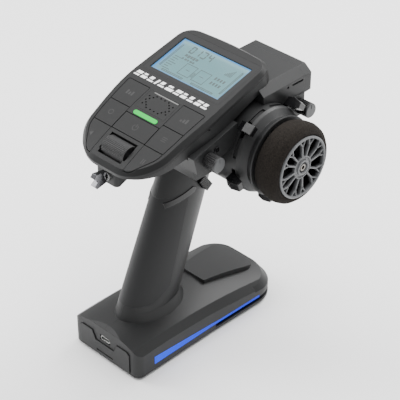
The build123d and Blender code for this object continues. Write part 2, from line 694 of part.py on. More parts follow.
hub_radius = 6.0
face_x = rim_outer_x - 1.0
rim = tube(rim_inner_x, rim_outer_x, axis_y, axis_z, rim_radius, rim_radius - rim_wall)
rim = rim + rod(rim_inner_x, face_x, axis_y, axis_z, hub_radius)
rim = rim + (rod(rim_inner_x, rim_inner_x + 2.0, axis_y, axis_z, rim_radius - 0.5))
for i in range(spoke_count):
    spoke = Box(3.2, spoke_width, rim_radius - hub_radius)
    spoke = Pos(face_x - 1.6, 0, (rim_radius + hub_radius) / 2 - 1) * spoke
    rim = rim + Pos(0, axis_y, axis_z) * Rot(360 * i / spoke_count, 0, 0) * spoke
rim = rim - rod(rim_inner_x - 1, rim_outer_x - 4.2, axis_y, axis_z, shaft_radius)
rim = rim - rod(rim_outer_x - 4.2, rim_outer_x + 1, axis_y, axis_z, 3.2)
save("steering_rim", rim)
foam = turned([(61.0, rim_radius + 0.02), (61.0, 25.0), (63.0, 26.3), (67.5, 27.6), (71.5, foam_radius),
               (75.6, 27.0), (78.3, 24.8), (79.2, 22.6), (79.2, rim_radius + 0.02)])
save("foam_grip", foam)
screw = rod(rim_outer_x - 4.1, rim_outer_x - 0.6, axis_y, axis_z, 3.1)
socket = Plane(origin=(rim_outer_x - 0.6, axis_y, axis_z), z_dir=(1, 0, 0)) * RegularPolygon(1.5, 6)
save("hub_screw", screw - extrude(socket, -1.8))

# ---------------------------------------------------------------- trim levers
lever_points = [(45.9, 30.5), (49.4, 30.5), (57.2, 32.6), (56.8, 36.2), (50.4, lever_tip), (45.9, 36.2)]
lever_plane = Plane(origin=(0, axis_y, axis_z), x_dir=(1, 0, 0), z_dir=(0, -1, 0))
lever_head = extrude(lever_plane * make_face(Polyline(*lever_points, close=True)), 3.1, both=True)
lever_head = fillet(lever_head.edges().filter_by(Axis.Y), 0.5)
lever_stem = box(slot_x - slot_width / 2 + slip, slot_x + slot_width / 2 - slip, axis_y - 2.2, axis_y + 2.2,
                 axis_z + 24.6, axis_z + 31.5)
lever = lever_head + lever_stem
for i, angle in enumerate(lever_angles):
    save("trim_lever_" + str(i + 1), about_axis(lever, angle))

# ---------------------------------------------------------------- trigger
hub = rod(-trigger_half, trigger_half, pivot_y, pivot_z, 5.0)
ring = rod(-trigger_half, trigger_half, loop_y, loop_z, loop_radius)
stem = side_shape([(pivot_y - 5, pivot_z), (pivot_y + 5, pivot_z), (loop_y + 9, loop_z + 8),
                   (loop_y - 9, loop_z + 8)], -trigger_half, trigger_half)
finger = rod(-trigger_half - 1, trigger_half + 1, loop_y, loop_z, finger_radius)
trigger = (hub + ring + stem) - finger - rod(-20, 20, pivot_y, pivot_z, pivot_radius + run_fit)
loop_edges = trigger.edges().group_by(Axis.X)[-1].filter_by(GeomType.CIRCLE)
trigger = fillet(loop_edges.sort_by(Edge.length)[-2:], 1.0)
save("throttle_trigger", trigger)
save("trigger_axle", pivot_pin)

# ---------------------------------------------------------------- module bay
def bay_face(inset=0.0):
    left, right = bay_left + inset, bay_right - inset
    low, top = bay_low + inset, bay_top - inset
    cut = bay_bevel - 0.4 * inset
    points = [(left, low + cut), (left + cut, low), (right - cut, low), (right, low + cut),
              (right, top - cut), (right - cut - 1, top), (left + cut, top), (left, top - cut)]
    return make_face(Polyline(*points, close=True))


def bay_plane(y):
    return Plane(origin=(0, y, 0), x_dir=(1, 0, 0), z_dir=(0, -1, 0))


bay = extrude(bay_plane(bay_near) * bay_face(), -(bay_far - bay_near))
bay_room = extrude(bay_plane(bay_near + wall) * bay_face(wall), -(bay_far - bay_near))
vent_y = 65.5
vent_z = 179.2
vent = box(bay_right - 4, bay_right + 4, vent_y, vent_y + 10.5, vent_z - 0.7, vent_z + 0.7)
lamp_hole = rod(bay_right - 4, bay_right + 4, vent_y - 4.1, vent_z, 0.9)
bay = bay - bay_room - vent - lamp_hole
pod_two_points = [(58, bay_low + 5.5), (60, 157), (66, 153.6), (77, 153.6), (81, 158), (80, bay_low + 5.5)]
pod_two = side_shape(pod_two_points, 33.5, dial_two[0] - 0.6)
pod_two = fillet(pod_two.edges().filter_by(Axis.X), 1.5)
pod_two = pod_two & box(0, 60, 50, bay_far, 100, 200)
bay = bay + (pod_two - bay_room)
bay = bay - head_envelope - drum_outer - rod(dial_two[0] - 6, dial_two[0] + 2, dial_two[1], dial_two[2],
                                              dial_stem + run_fit)
bay_parts = sorted(bay.solids(), key=lambda s: s.volume)
save("module_bay", bay_parts[-1])

cap = loft([bay_plane(bay_far) * bay_face(), bay_plane(bay_far + bay_cover - 2.5) * bay_face(),
            bay_plane(bay_far + bay_cover) * bay_face(2.2)], ruled=True)
cap = cap - extrude(bay_plane(bay_far - 1) * bay_face(wall + 0.6), -(bay_cover - 1.2))
tab_top = bay_top - wall - slip
cap = cap + box(bay_left + 12, bay_right - 12, bay_far - 2.5, bay_far + bay_cover - 1, tab_top - 1.4, tab_top)
save("module_cover", cap)
save("radio_module", box(4, 34, bay_near + 14.0, bay_near + 34.0, 173.0, 182.0))

# ---------------------------------------------------------------- switches and dials
def dial(place):
    x, y, z = place
    knob = rod(x, x + dial_length, y, z, dial_radius)
    knob = chamfer(knob.edges().group_by(Axis.X)[-1], 0.5)
    grooves = []
    for i in range(24):
        cutter = Rot(45, 0, 0) * Box(dial_length - 1.8, 0.7, 0.7)
        cutter = Rot(15 * i, 0, 0) * Pos(0, 0, dial_radius) * cutter
        grooves.append(Pos(x + dial_length / 2 - 0.6, y, z) * cutter)
    knob = knob - Compound(children=grooves)
    mark = Pos(x + dial_length, y, z + dial_radius * 0.6) * Box(0.6, 0.7, dial_radius * 0.6)
    return knob - mark + rod(x - 4.0, x + 0.5, y, z, dial_stem)


save("dial_front", dial(dial_one))
save("dial_rear", dial(dial_two))

pod_right = cell_box(29.5, dial_one[0] - 0.5, -39.0, 1.0, -31.0, -head_depth)
pod_right = chamfer(pod_right.edges().filter_by(Axis.X).group_by(Axis.Z)[0], 4.0)
pod_right = chamfer(pod_right.faces().sort_by(Axis.X)[-1].edges().group_by(Axis.Z)[0], 2.5)
pod_right = on_panel(pod_right) - head_envelope - neck - drum_outer
dial_bore = rod(dial_one[0] - 6, dial_one[0] + 2, dial_one[1], dial_one[2], dial_stem + run_fit)
button_y = -5.0
button_z = 162.5
button_radius = 1.9
button_x = dial_one[0] - 0.5
button_travel = 0.8
button_room = rod(button_x - 4.0, button_x + 2, button_y, button_z, button_radius + 0.15)
pod_right = pod_right - dial_bore - button_room
save("right_switch_pod", pod_right)
save("side_button", rod(button_x - 2.8, button_x + 0.7, button_y, button_z, button_radius))

x0, x1, y0, y1, z0 = pod_left_box
pod_left = box(x0, x1, y0, y1, z0, 175)
pod_left = fillet(pod_left.edges().filter_by(Axis.Z), 3.0)
pod_slope = [(y0 - 1, z0 - 1), (y1 + 1, z0 - 1), (y1 + 1, z0 + 8), (y0 + 3, z0)]
pod_left = pod_left - side_shape(pod_slope, x0 - 1, x1 + 1)
toggle_pivot = y0 + 2.5
toggle_room = Pos(toggle_x, y0 + 1.5, toggle_z) * Rot(90, 0, 0) * Cylinder(2.6, 9)
bush_outer = Pos(toggle_x, y0 - 0.25, toggle_z) * Rot(90, 0, 0) * Cylinder(3.6, 2.1)
pod_left = pod_left - head_envelope - grip_outer - neck - drum_outer - toggle_room - bush_outer
pod_left_parts = sorted(pod_left.solids(), key=lambda s: s.volume)
save("left_switch_pod", pod_left_parts[-1])
save("toggle_bush", bush_outer - toggle_room)

lever_y = y0 - 1.9
paddle_points = [(lever_y, -4.4), (lever_y, 4.4), (lever_y - 8.5, 5.4), (lever_y - 10.5, 3.0),
                 (lever_y - 7.0, 0), (lever_y - 10.5, -3.0), (lever_y - 8.5, -5.4)]
paddle = Pos(toggle_x, 0, toggle_z) * side_shape(paddle_points, -2.3, 2.3)
taper_points = [(-1.3, lever_y + 1), (1.3, lever_y + 1), (2.3, lever_y - 12), (-2.3, lever_y - 12)]
taper = make_face(Polyline(*taper_points, close=True))
paddle = paddle & extrude(Pos(toggle_x, 0, toggle_z) * taper, 20, both=True)
stalk = Rot(90, 0, 0) * Cylinder(1.1, toggle_pivot - lever_y + 1)
stalk = Pos(toggle_x, (toggle_pivot + lever_y) / 2, toggle_z) * stalk
save("toggle_lever", paddle + stalk + Pos(toggle_x, toggle_pivot, toggle_z) * Cylinder(1.6, 3.4))
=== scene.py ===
import bpy
import math
import numpy as np
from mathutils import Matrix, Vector


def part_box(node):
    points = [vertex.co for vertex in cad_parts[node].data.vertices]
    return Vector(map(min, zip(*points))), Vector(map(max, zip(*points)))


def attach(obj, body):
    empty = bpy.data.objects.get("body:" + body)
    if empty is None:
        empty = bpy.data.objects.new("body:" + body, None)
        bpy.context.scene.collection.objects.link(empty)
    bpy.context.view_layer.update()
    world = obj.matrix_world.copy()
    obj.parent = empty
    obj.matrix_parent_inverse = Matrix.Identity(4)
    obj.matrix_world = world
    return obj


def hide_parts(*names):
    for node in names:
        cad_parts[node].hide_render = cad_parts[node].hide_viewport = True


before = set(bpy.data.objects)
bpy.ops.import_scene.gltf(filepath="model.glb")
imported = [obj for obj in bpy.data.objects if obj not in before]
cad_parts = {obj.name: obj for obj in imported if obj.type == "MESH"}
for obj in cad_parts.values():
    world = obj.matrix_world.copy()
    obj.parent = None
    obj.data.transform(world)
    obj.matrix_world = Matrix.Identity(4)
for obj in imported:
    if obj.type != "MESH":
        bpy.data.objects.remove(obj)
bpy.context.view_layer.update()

# ------------------------------------------------------------------ moulded casings
# The grip and base shells, drum, module bay and pods: charcoal plastic, injection moulded with a fine
# spark-eroded grain and screwed together.  Materials are built here with a small socket class.


class Sock:
    """A shader socket that can be added, multiplied and compared."""

    def __init__(self, shader, out):
        self.shader = shader
        self.out = out

    def math(self, operation, *others):
        made = self.shader.node("ShaderNodeMath", operation=operation, inputs=(self,) + others)
        return Sock(self.shader, made.outputs[0])

    def __add__(self, other):
        return self.math("ADD", other)

    def __sub__(self, other):
        return self.math("SUBTRACT", other)

    def __mul__(self, other):
        return self.math("MULTIPLY", other)

    def __rsub__(self, other):
        return self.math("MULTIPLY_ADD", -1.0, other)

    __radd__ = __add__
    __rmul__ = __mul__

    def above(self, level):
        return self.math("GREATER_THAN", level)

    def below(self, level):
        return self.math("LESS_THAN", level)

    def ramp(self, low, high):
        """0 at low, 1 at high, clamped."""
        made = self.shader.node("ShaderNodeMapRange", inputs=(self, low, high))
        return Sock(self.shader, made.outputs[0])

    def dot(self, direction):
        made = self.shader.node("ShaderNodeVectorMath", operation="DOT_PRODUCT", inputs=(self, direction))
        return Sock(self.shader, made.outputs["Value"])


class Shader:
    """One material: its node tree, its Principled shader and a few ways to fill it."""

    def __init__(self, name, colour, roughness, metallic=0.0, specular=0.5):
        self.material = bpy.data.materials.new(name)
        self.material.use_nodes = True
        self.tree = self.material.node_tree
        self.main = self.tree.nodes["Principled BSDF"]
        self.put("Base Color", (*colour, 1.0))
        self.put("Roughness", roughness)
        self.put("Metallic", metallic)
        self.put("Specular IOR Level", specular)
        place = self.node("ShaderNodeTexCoord").outputs["Object"]
        self.place = Sock(self, place)

    def node(self, kind, inputs=(), **settings):
        """A node of any kind, with its settings and its first inputs filled in order."""
        made = self.tree.nodes.new(kind)
        for key, value in settings.items():
            setattr(made, key, value)
        for socket, value in zip(made.inputs, inputs):
            self.fill(socket, value)
        return made

    def fill(self, socket, value):
        if isinstance(value, Sock):
            self.tree.links.new(value.out, socket)
        elif value is not None:
            socket.default_value = value

    def put(self, name, value):
        self.fill(self.main.inputs[name], value)

    def mix(self, share, low, high):
        """Colour between low and high."""
        made = self.node("ShaderNodeMix", data_type="RGBA")
        self.fill(made.inputs["Factor"], share)
        for key, value in (("A", low), ("B", high)):
            socket = [s for s in made.inputs if s.name == key and s.type == "RGBA"][0]
            self.fill(socket, value if isinstance(value, Sock) else (*value, 1.0))
        return Sock(self, [s for s in made.outputs if s.type == "RGBA"][0])

    def noise(self, scale, detail=3.0):
        made = self.node("ShaderNodeTexNoise")
        self.fill(made.inputs["Vector"], self.place)
        self.fill(made.inputs["Scale"], scale)
        self.fill(made.inputs["Detail"], detail)
        return Sock(self, made.outputs["Fac"])

    def cells(self, scale):
        made = self.node("ShaderNodeTexVoronoi", feature="F1")
        self.fill(made.inputs["Vector"], self.place)
        self.fill(made.inputs["Scale"], scale)
        return Sock(self, made.outputs["Distance"])

    def bump(self, height, distance, strength=1.0, rounding=0.0):
        """Surface relief in metres, over edges rounded by rounding metres."""
        made = self.node("ShaderNodeBump")
        self.fill(made.inputs["Height"], height)
        self.fill(made.inputs["Distance"], distance)
        self.fill(made.inputs["Strength"], strength)
        if rounding:
            soft = self.node("ShaderNodeBevel", samples=4)
            self.fill(soft.inputs["Radius"], rounding)
            self.tree.links.new(soft.outputs[0], made.inputs["Normal"])
        self.tree.links.new(made.outputs[0], self.main.inputs["Normal"])


tone_wander = 0.12      # lightest and darkest tone, as a share of the colour


def moulded(name, colour, roughness, grain=2600.0, depth=0.00003, rounding=0.0005, specular=0.4):
    """Textured moulded plastic: fine grain, slow wander of tone, softly rounded edges."""
    shader = Shader(name, colour, roughness, specular=specular)
    fine = shader.noise(grain, 2.0)
    slow = shader.noise(38.0, 2.0)
    light = tuple(c * (1 + tone_wander) for c in colour)
    dark = tuple(c * (1 - tone_wander) for c in colour)
    shader.put("Base Color", shader.mix(slow * 0.6 + fine * 0.4, dark, light))
    shader.put("Roughness", fine * 0.14 + (roughness - 0.07))
    shader.bump(fine, depth, 0.6, rounding)
    return shader


def dress(material, *nodes):
    """Give CAD nodes or new pieces a material."""
    for name in nodes:
        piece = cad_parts.get(name) or bpy.data.objects[name]
        piece.data.materials.clear()
        piece.data.materials.append(material)
        for face in piece.data.polygons:
            face.material_index = 0


casing = moulded("casing_plastic", (0.0115, 0.0118, 0.0121), 0.46, specular=0.3)
dress(casing.material, "handle_shell_left", "handle_shell_right", "base_bottom_plate", "battery_door",
      "head_lower_shell", "wheel_housing", "module_bay", "module_cover", "right_switch_pod", "left_switch_pod",
      "base_top_pad", "throttle_trigger")

# ------------------------------------------------------------------ face of the head
# The upper cover, its keys and the speaker grille: the same plastic, a shade darker and smoother.
# The keys are moulded one by one and sit on a rubber membrane.
face_plastic = moulded("face_plastic", (0.0105, 0.0107, 0.0109), 0.44, grain=3200.0,
                       depth=0.00002, specular=0.2)
dress(face_plastic.material, "head_upper_cover", "speaker_grille", "power_key", "key_left_upper",
      "key_left_middle", "key_left_lower", "key_right_upper", "key_right_middle", "key_right_lower")

# ------------------------------------------------------------------ soft rubber
# The palm panel, bonded to the grip, the feet and the key membrane: black rubber with no shine
# and a very fine grain.
soft = moulded("soft_rubber", (0.0115, 0.0117, 0.0123), 0.55, grain=4200.0, depth=0.000015,
               specular=0.28)
dress(soft.material, "palm_grip", "rubber_feet", "keypad_membrane")

# ------------------------------------------------------------------ polished black
# The inlays of the grip, its rocker, the trim tabs and the side button: gloss black plastic.
# Light scuffs change its roughness.
gloss = Shader("gloss_black", (0.003, 0.003, 0.0035), 0.2)
gloss.put("Roughness", gloss.noise(300.0) * 0.2 + 0.14)
gloss.bump(gloss.noise(900.0), 0.00001, 0.3, 0.0004)
dress(gloss.material, "grip_trim", "trim_lever_1", "trim_lever_2", "trim_lever_3", "trim_lever_4",
      "grip_rocker", "side_button")

# ------------------------------------------------------------------ roller
# A black plastic roller with fine ribs, moulded in one piece and turned by the thumb.
# It runs on a steel axle held in two posts of the lower shell.
knob = moulded("knob_black", (0.007, 0.007, 0.0075), 0.42, grain=5000.0, depth=0.00001, rounding=0.0002)
dress(knob.material, "scroll_roller")

# ------------------------------------------------------------------ dials
# Black plastic knobs, moulded with knurled sides and their stems, which turn in the pods.
# The outer end of each is a satin grey disc.
dial_black = (0.007, 0.007, 0.0075)
for name in ("dial_front", "dial_rear"):
    _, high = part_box(name)
    end = Shader(name + "_finish", dial_black, 0.4)
    cap = end.place.dot((1, 0, 0)).above(high.x - 0.0004)
    end.put("Base Color", end.mix(cap, dial_black, (0.05, 0.052, 0.054)))
    end.bump(end.noise(4000.0), 0.00001, 0.5, 0.0003)
    dress(end.material, name)

# ------------------------------------------------------------------ steel
# Shafts, screws, bearings, springs, contacts and the charging port: turned or pressed steel,
# left bright, with fine tool marks that change the roughness.
steel = Shader("turned_steel", (0.55, 0.55, 0.54), 0.32, metallic=1.0)
steel.put("Roughness", steel.noise(700.0) * 0.25 + 0.2)
steel.bump(steel.noise(1500.0), 0.000008, 0.4, 0.0002)
dress(steel.material, "usb_port", "steering_shaft", "steering_bearings", "steering_spring", "steering_magnet",
      "roller_axle", "trigger_axle", "base_screws", "head_screws", "battery_contacts", "toggle_bush")

# ------------------------------------------------------------------ toggle lever
# The switch lever on the left pod: cast metal in dark chrome plate.
# It turns on a pivot pin inside its bush.
chrome = Shader("dark_chrome", (0.16, 0.16, 0.17), 0.18, metallic=1.0)
chrome.put("Roughness", chrome.noise(400.0) * 0.15 + 0.1)
chrome.bump(chrome.noise(900.0), 0.00001, 0.3, 0.0005)
dress(chrome.material, "toggle_lever")

# ------------------------------------------------------------------ battery cells
# Two steel cells lying side by side in the base, in green shrink wrap.
# They are held between the spring contacts and a rib of the bottom plate.
wrap = moulded("cell_wrap", (0.05, 0.16, 0.1), 0.35, grain=900.0)
dress(wrap.material, "battery_cells")

# ------------------------------------------------------------------ circuit boards
# Glass-fibre boards under green lacquer, without their components.
# They are screwed or clipped inside the casings.
board = moulded("circuit_board", (0.02, 0.12, 0.05), 0.4, grain=1500.0)
dress(board.material, "charge_board", "main_board", "steering_sensor", "radio_module")

# ------------------------------------------------------------------ speaker
# A small round speaker in a dark grey moulded frame.
# It sits behind the grille of the upper cover.
inner = moulded("inner_plastic", (0.05, 0.05, 0.05), 0.6)
dress(inner.material, "speaker")

# ------------------------------------------------------------------ light strips
# Clear plastic light guides let into the sides of the base, lit blue from inside.
# They are brighter towards the user.
blue = Shader("blue_light", (0.0, 0.02, 0.35), 0.35, specular=0.15)
near = blue.place.dot((0, 1, 0)).ramp(0.045, -0.05)
blue.put("Emission Color", blue.mix(near, (0.0, 0.008, 0.62), (0.0, 0.06, 0.95)))
blue.put("Emission Strength", 1.0)
blue.bump(blue.noise(2500.0), 0.00001, 0.3)
dress(blue.material, "light_strip_left", "light_strip_right")

# ------------------------------------------------------------------ status bar
# A frosted plastic light guide in a slot of the upper cover, above the power key.
# It is lit green from inside, a little unevenly.
green = Shader("green_light", (0.002, 0.2, 0.03), 0.35, specular=0.12)
glow = green.noise(420.0)
green.put("Emission Color", green.mix(glow, (0.0, 0.55, 0.05), (0.004, 0.8, 0.1)))
green.put("Emission Strength", 1.0)
green.bump(glow, 0.00003, 0.5, 0.0004)
dress(green.material, "status_light_bar")

# ------------------------------------------------------------------ screen lens
# A flat plastic lens bonded into the upper cover.
# It is printed black behind, except over the display.
mm = 0.001
tilt = math.radians(14.86)                # the head's face leans back
panel_u = np.array([1.0, 0.0, 0.0])       # right along the face
panel_v = np.array([0.0, math.cos(tilt), math.sin(tilt)])      # away from the user
panel_n = np.array([0.0, -math.sin(tilt), math.cos(tilt)])     # out of the face
panel_origin = np.array([0.0, 9.2, 187.3])                     # millimetres
panel_start = float(panel_origin @ panel_v) * mm
lcd_half = 30.3
lcd_length = 33.1
lens = Shader("screen_lens", (0.02, 0.021, 0.023), 0.22, specular=0.22)
across = lens.place.dot((1, 0, 0)).math("ABSOLUTE")
along = lens.place.dot(tuple(panel_v.tolist())) - panel_start
window = across.below(lcd_half * mm) * along.above(0.0) * along.below(lcd_length * mm)
lens.put("Alpha", 1.0 - window * 0.97)
lens.put("Base Color", lens.mix(window, (0.009, 0.0092, 0.0096), (0.3, 0.4, 0.45)))
lens.put("Roughness", 0.42 - window * 0.25)
lens.bump(lens.noise(1800.0), 0.000006, 0.3)
dress(lens.material, "screen_lens")

# ------------------------------------------------------------------ display
# A backlit liquid crystal display under the lens, clipped in the upper cover.
# It shines teal, and blue where its light leaks at the edges.
display = Shader("lit_display", (0.05, 0.1, 0.12), 0.4)
across = display.place.dot((1, 0, 0)).math("ABSOLUTE")
along = display.place.dot(tuple(panel_v.tolist())) - panel_start
side_edge = across.ramp((lcd_half - 2.6) * mm, (lcd_half - 0.2) * mm)
near_edge = along.ramp(2.4 * mm, 0.6 * mm)
far_edge = along.ramp((lcd_length - 1.8) * mm, (lcd_length - 0.4) * mm)
rim_glow = side_edge.math("MAXIMUM", near_edge).math("MAXIMUM", far_edge)
field = display.mix(display.noise(55.0), (0.12, 0.29, 0.3), (0.17, 0.36, 0.36))
display.put("Emission Color", display.mix(rim_glow, field, (0.03, 0.3, 0.85)))
display.put("Emission Strength", 0.92)
dress(display.material, "lcd_module")

# ------------------------------------------------------------------ display marks
# What the display shows: made-up figures, boxes and scales in dark dots of a 128 by 64 screen.
# Each is a thin closed block just over the display.
bow_radius = 278.0      # the key area bends down along a circle, the screen area is flat


def on_panel(u, v, n):
    """Points on the face in metres, from millimetres right, away and out.

    Each is the origin plus u, v and n along the face's axes; where v is negative, n is lowered by
    v squared over twice the bend's radius.
    """
    u, v, n = np.broadcast_arrays(u, v, n)
    drop = np.where(v < 0, -v * v / (2 * bow_radius), 0.0)
    steps = u[..., None] * panel_u + v[..., None] * panel_v + (n + drop)[..., None] * panel_n
    return (panel_origin + steps) * mm


def prism_faces(count):
    """Faces of a prism with count corners at each end, the first end facing back."""
    corner = np.arange(count)
    after = (corner + 1) % count
    return [corner[::-1], corner + count, *np.stack([corner, after, after + count, corner + count], -1)]


def flat_prism(outline, low, high):
    """Closed prism: an anticlockwise outline of (u, v) points, once at height low and once at high."""
    u, v = np.array(outline, float).T
    points = np.concatenate([on_panel(u, v, low), on_panel(u, v, high)])
    return points, prism_faces(len(u))


def block(u0, u1, v0, v1, low, high, slant=0.0):
    """Rectangle on the face, leaning right by slant for each millimetre of v."""
    lean = slant * (v1 - v0)
    return flat_prism([(u0, v0), (u1, v0), (u1 + lean, v1), (u0 + lean, v1)], low, high)


def join(parts):
    """One point array and face list from several (points, faces) pairs."""
    points = np.concatenate([some for some, _ in parts])
    starts = np.cumsum([0] + [len(some) for some, _ in parts])
    faces = [face + start for (_, some), start in zip(parts, starts) for face in some]
    return points, faces


def make_piece(name, points, faces, body, smooth=True):
    mesh = bpy.data.meshes.new(name)
    mesh.from_pydata(points.tolist(), [], [face.tolist() for face in faces])
    mesh.validate()
    mesh.update()
    if smooth:
        mesh.shade_smooth()
    piece = bpy.data.objects.new(name, mesh)
    bpy.context.scene.collection.objects.link(piece)
    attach(piece, body)
    return piece


dot_wide = 2 * lcd_half / 128
dot_tall = lcd_length / 64
mark_low, mark_high = -1.19, -1.12      # between display and lens
marks = []


def dots(column, row, wide, tall):
    """A filled run of display dots; rows count from the far edge."""
    u = -lcd_half + column * dot_wide
    v = lcd_length - row * dot_tall
    marks.append(block(u, u + wide * dot_wide, v - tall * dot_tall, v, mark_low, mark_high))


def dot_frame(column, row, wide, tall):
    """An empty box, one dot thick."""
    dots(column, row, wide, 1)
    dots(column, row + tall - 1, wide, 1)
    dots(column, row + 1, 1, tall - 2)
    dots(column + wide - 1, row + 1, 1, tall - 2)


def big_digit(column, row, segments):
    """Seven-segment figure 8 dots wide and 13 tall; segments are letters a to g."""
    places = {"a": (0, 0, 7, 2), "b": (6, 1, 2, 5), "c": (6, 7, 2, 5), "d": (0, 11, 7, 2), "e": (0, 7, 2, 5),
              "f": (0, 1, 2, 5), "g": (1, 5, 6, 2)}
    for letter in segments:
        c, r, w, t = places[letter]
        dots(column + c, row + r, w, t)


for index, segments in enumerate(("abcdef", "bc", "abcd", "bcfg")):
    big_digit(24 + 11 * index, 5, segments)
for index in range(5):
    dots(25 + 5 * index, 21, 4, 5 if index % 2 else 4)
    dots(25 + 5 * index, 28, 3 + index % 2, 3)
for index in range(7):
    dots(12, 30 + 4 * index, 14 - index % 3 * 3, 1)
dot_frame(6, 10, 3, 44)
dot_frame(119, 10, 3, 44)
dot_frame(16, 57, 40, 3)
dot_frame(72, 57, 40, 3)
for column in (40, 66):
    dot_frame(column, 33, 21, 21)
    dots(column + 7, 43, 7, 1)
for column in (62, 64):
    dots(column, 42, 1, 9)
for index in range(6):
    dots(100 + 2 * index, 22 - 2 * index, 1, 3 + 2 * index)
for index in range(8):
    dots(94 + index % 4 * 5, 33 + index // 4 * 9, 3, 5)
points, faces = join(marks)
make_piece("display_marks", points, faces, "chassis", smooth=False)
ink = Shader("display_ink", (0.03, 0.05, 0.05), 0.5)
ink.put("Emission Color", ink.mix(ink.noise(500.0), (0.02, 0.045, 0.045), (0.03, 0.06, 0.06)))
ink.put("Emission Strength", 0.5)
dress(ink.material, "display_marks")

# ------------------------------------------------------------------ slanted bars
# A row of slanted white blocks, printed on the cover, stands in for the maker's lettering.
# It says nothing.
bar_low, bar_high = -0.02, 0.05
bar_near, bar_far = -11.0, -6.5
bar_row = 65.0          # length of the whole row
bar_slant = 0.3
narrow = 3.0            # a block under this width is one plain stroke
bars = []
widths = (4.6, 4.6, 5.0, 2.0, 5.0, 6.2, 4.6, 4.6, 4.8, 4.6, 4.8)
gap = (bar_row - sum(widths)) / (len(widths) - 1)
start = -34.9
for index, wide in enumerate(widths):
    if wide < narrow:
        bars.append(block(start, start + 1.6, bar_near, bar_far, bar_low, bar_high, bar_slant))
    else:
        middle = (bar_near + bar_far) / 2 + (0.5 if index % 2 else -0.5)
        bars.append(block(start, start + wide, bar_near, middle - 0.5, bar_low, bar_high, bar_slant))
        left = start + bar_slant * (middle + 0.35 - bar_near)
        right = left + wide * (0.62 if index % 3 else 1.0)
        bars.append(block(left, right, middle + 0.35, bar_far, bar_low, bar_high, bar_slant))
    start += wide + gap
points, faces = join(bars)
make_piece("slanted_bars", points, faces, "chassis", smooth=False)
paint = Shader("white_print", (0.82, 0.82, 0.81), 0.45)
paint.put("Base Color", paint.mix(paint.noise(900.0), (0.74, 0.74, 0.73), (0.88, 0.88, 0.87)))
dress(paint.material, "slanted_bars")

# ------------------------------------------------------------------ key symbols
# Generic signs pressed into the keys, made here as thin dark shapes.
# Each moves with its key.
icon_low, icon_high = -0.03, 0.015


def ring_sector(u, v, inner, outer, start, end, low, high, steps):
    """Arc band on the face: the outer arc from start to end degrees, and the inner one back."""
    turn = np.radians(np.linspace(start, end, steps + 1))
    arc = np.stack([np.cos(turn), np.sin(turn)], -1)
    return flat_prism(np.concatenate([outer * arc, inner * arc[::-1]]) + (u, v), low, high)


def icon(name, body, shapes):
    points, faces = join(shapes)
    make_piece(name, points, faces, body, smooth=False)
    dress(symbol.material, name)


def bars_icon(u, v, tall):
    return [block(u - 3 + 2.2 * i, u - 1.6 + 2.2 * i, v - 1.6, v - 1.6 + t, icon_low, icon_high)
            for i, t in enumerate(tall)]


symbol = Shader("debossed_symbol", (0.009, 0.009, 0.0095), 0.6)
symbol.put("Base Color", symbol.mix(symbol.noise(800.0), (0.008, 0.008, 0.008), (0.013, 0.013, 0.0135)))
power_ring = [ring_sector(0, -44.8, 1.75, 2.25, 120, 420, icon_low, icon_high, 32),
              block(-0.25, 0.25, -44.6, -42.2, icon_low, icon_high)]
icon("power_symbol", "power_key_body", power_ring)
icon("symbol_left_upper", "key_left_upper_body", bars_icon(-24, -25, (3.4, 2.4, 3.4)))
icon("symbol_left_middle", "key_left_middle_body",
     [ring_sector(-24, -43, 1.5, 2.0, 0, 350, icon_low, icon_high, 28)])
icon("symbol_left_lower", "key_left_lower_body",
     [flat_prism([(-23.2, -60.0), (-25.8, -61.8), (-23.2, -63.6)], icon_low, icon_high)])
icon("symbol_right_upper", "key_right_upper_body", bars_icon(25, -25, (1.6, 2.6, 3.6)))
icon("symbol_right_middle", "key_right_middle_body",
     [block(22.0, 26.0, -43.0 + d, -42.6 + d, icon_low, icon_high) for d in (-1.4, 0, 1.4)])
icon("symbol_right_lower", "key_right_lower_body",
     [block(22.0, 22.7, -63.6, -60.0, icon_low, icon_high),
      block(23.5, 24.2, -63.6, -60.0, icon_low, icon_high)])

# ------------------------------------------------------------------ grille light guide
# A thin strip of pale grey plastic, moulded on its own.
# It is let into the far edge of the speaker grille.
points, faces = block(-9.4, 12.0, -17.15, -16.4, -0.2, 0.12)
make_piece("grille_light_guide", points, faces, "chassis", smooth=False)
pale = Shader("pale_guide", (0.3, 0.3, 0.29), 0.4)
pale.put("Base Color", pale.mix(pale.noise(600.0), (0.1, 0.1, 0.097), (0.15, 0.15, 0.145)))
dress(pale.material, "grille_light_guide")

# ------------------------------------------------------------------ foam of the wheel
# A ring of open-cell foam, stretched over the rim: crowned, with rounded edges and a pitted surface.
# It is made of points round the steering axis, which runs along X through the wheel's middle.
rim_low, rim_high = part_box("steering_rim")
foam_low, foam_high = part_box("foam_grip")
axis_y = (rim_low.y + rim_high.y) / 2
axis_z = (rim_low.z + rim_high.z) / 2
rim_radius = (rim_high.z - rim_low.z) / 2
foam_radius = (foam_high.z - foam_low.z) / 2


def round_axis(x, radius, turn):
    """Points at distance radius from the steering axis; turn in radians."""
    return np.stack([x, axis_y + radius * np.cos(turn), axis_z + radius * np.sin(turn)], -1)


def grid_faces(rows, columns):
    """Quads of a grid of points whose rows and columns both close on themselves."""
    row = np.arange(rows)[:, None] * columns
    column = np.arange(columns)[None, :]
    row_after = np.roll(row, -1, 0)
    column_after = np.roll(column, -1, 1)
    quads = [row + column, row + column_after, row_after + column_after, row_after + column]
    return np.stack(quads, -1).reshape(-1, 4)


